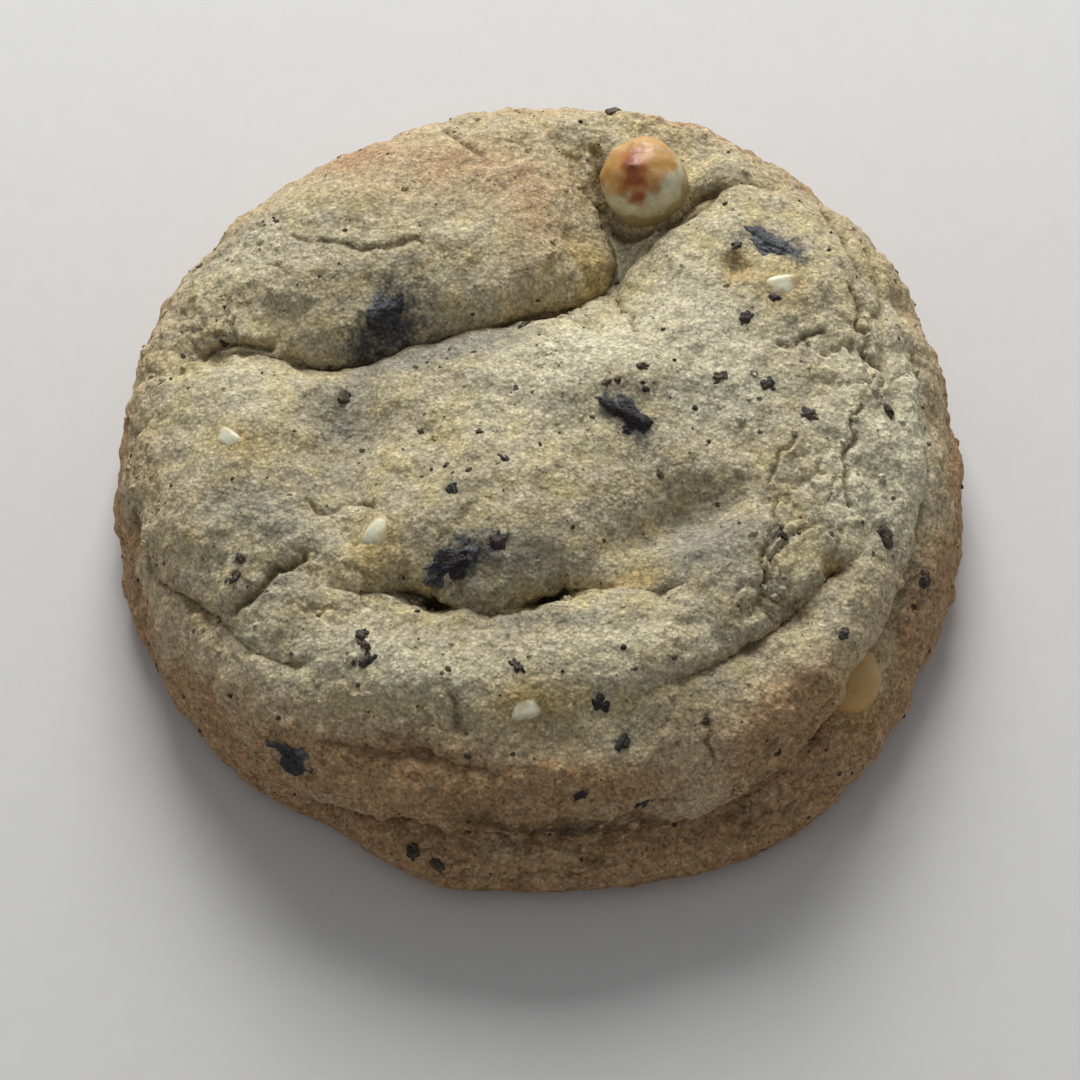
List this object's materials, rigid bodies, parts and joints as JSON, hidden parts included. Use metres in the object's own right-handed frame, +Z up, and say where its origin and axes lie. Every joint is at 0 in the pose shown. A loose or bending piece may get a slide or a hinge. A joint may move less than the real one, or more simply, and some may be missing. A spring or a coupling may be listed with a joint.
{
  "type": "cookie",
  "caption": "Thick soft-baked round cookie with a torn, folded top, white chocolate chips and dark biscuit pieces, resting on its flat underside",
  "frame": {"origin": "the middle of the flat underside, at the middle of the bounding box's bottom", "axes": "+Z is up, out of the crown; +Y points away from the picture's camera, to the back of the cookie; +X is the picture's right"},
  "size_m": [0.0921, 0.0937, 0.024],
  "materials": {
    "baked_dough": "matt, sandy baked dough, grey-beige on top and browned on the rim and foot",
    "white_chocolate": "satin, creamy white chocolate, browned where it stood out in the oven",
    "dark_biscuit": "matt, nearly black crumbly biscuit"
  },
  "bodies": {
    "root": {"dough": "baked_dough", "chip_whole": "white_chocolate", "chip_left": "white_chocolate", "chip_middle": "white_chocolate", "chip_front": "white_chocolate", "chip_right": "white_chocolate", "chip_side": "white_chocolate", "biscuit_lobe": "dark_biscuit", "biscuit_ridge": "dark_biscuit", "biscuit_lip": "dark_biscuit", "biscuit_foot": "dark_biscuit", "biscuit_back": "dark_biscuit"}
  },
  "joints": []
}
